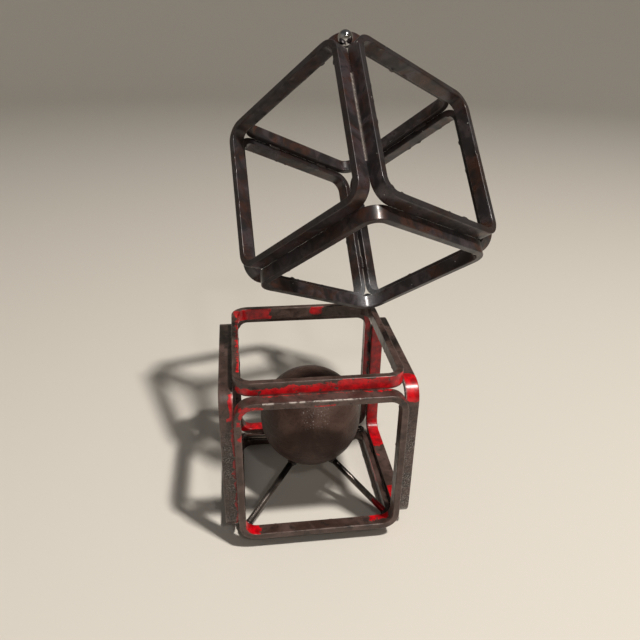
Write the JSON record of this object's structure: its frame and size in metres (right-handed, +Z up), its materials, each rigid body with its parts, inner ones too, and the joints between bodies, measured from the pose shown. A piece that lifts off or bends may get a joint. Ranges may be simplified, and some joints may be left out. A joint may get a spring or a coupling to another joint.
{
  "type": "magnetic desk sculpture",
  "caption": "Open steel cube frame standing on its corner on a ball magnet, above a matching base cube that holds a steel ball on thin rods; the top cube turns and lifts off.",
  "frame": {"origin": "on the table, under the middle of the sculpture's outline", "axes": "+Z up, -Y towards the front of the base cube, +X to its right"},
  "size_m": [0.1284, 0.1356, 0.2236],
  "materials": {
    "base_rings": "dark brown patinated steel with worn glossy red paint in the grooves, satin lacquer",
    "upper_rings": "blackened bare steel with brown and violet heat tints, satin lacquer",
    "core_ball": "brown patinated solid steel, satin",
    "rods": "dark drawn steel, polished",
    "welds": "as-welded steel bead",
    "magnets": "nickel plated neodymium"
  },
  "bodies": {
    "base": {"base_ring_front": "base_rings", "base_ring_back": "base_rings", "base_ring_left": "base_rings", "base_ring_right": "base_rings", "base_ring_top": "base_rings", "base_ring_bottom": "base_rings", "base_tack_welds": "welds", "core_ball": "core_ball", "ball_rod_front_left": "rods", "ball_rod_front_right": "rods", "ball_rod_back_left": "rods", "ball_rod_back_right": "rods", "rod_weld_beads": "welds"},
    "pivot": {"pivot_magnet": "magnets"},
    "upper_cube": {"upper_ring_low_front": "upper_rings", "upper_ring_low_right": "upper_rings", "upper_ring_low_left": "upper_rings", "upper_ring_high_back": "upper_rings", "upper_ring_high_left": "upper_rings", "upper_ring_high_right": "upper_rings", "upper_tack_welds": "welds"},
    "crown": {"top_magnet": "magnets"}
  },
  "joints": [
    {"name": "upper_lift", "type": "slide", "parent": "base", "child": "pivot", "axis": [0, 0, 1], "range_m": [0, 0.12]},
    {"name": "upper_swivel", "type": "hinge", "parent": "pivot", "child": "upper_cube", "pos_m": [0.01472, 0.0111, 0.09218], "axis": [-0.153, -0.153, 0.9763], "continuous": true},
    {"name": "top_magnet_pull", "type": "slide", "parent": "upper_cube", "child": "crown", "axis": [-0.153, -0.153, 0.9763], "range_m": [0, 0.03]}
  ]
}
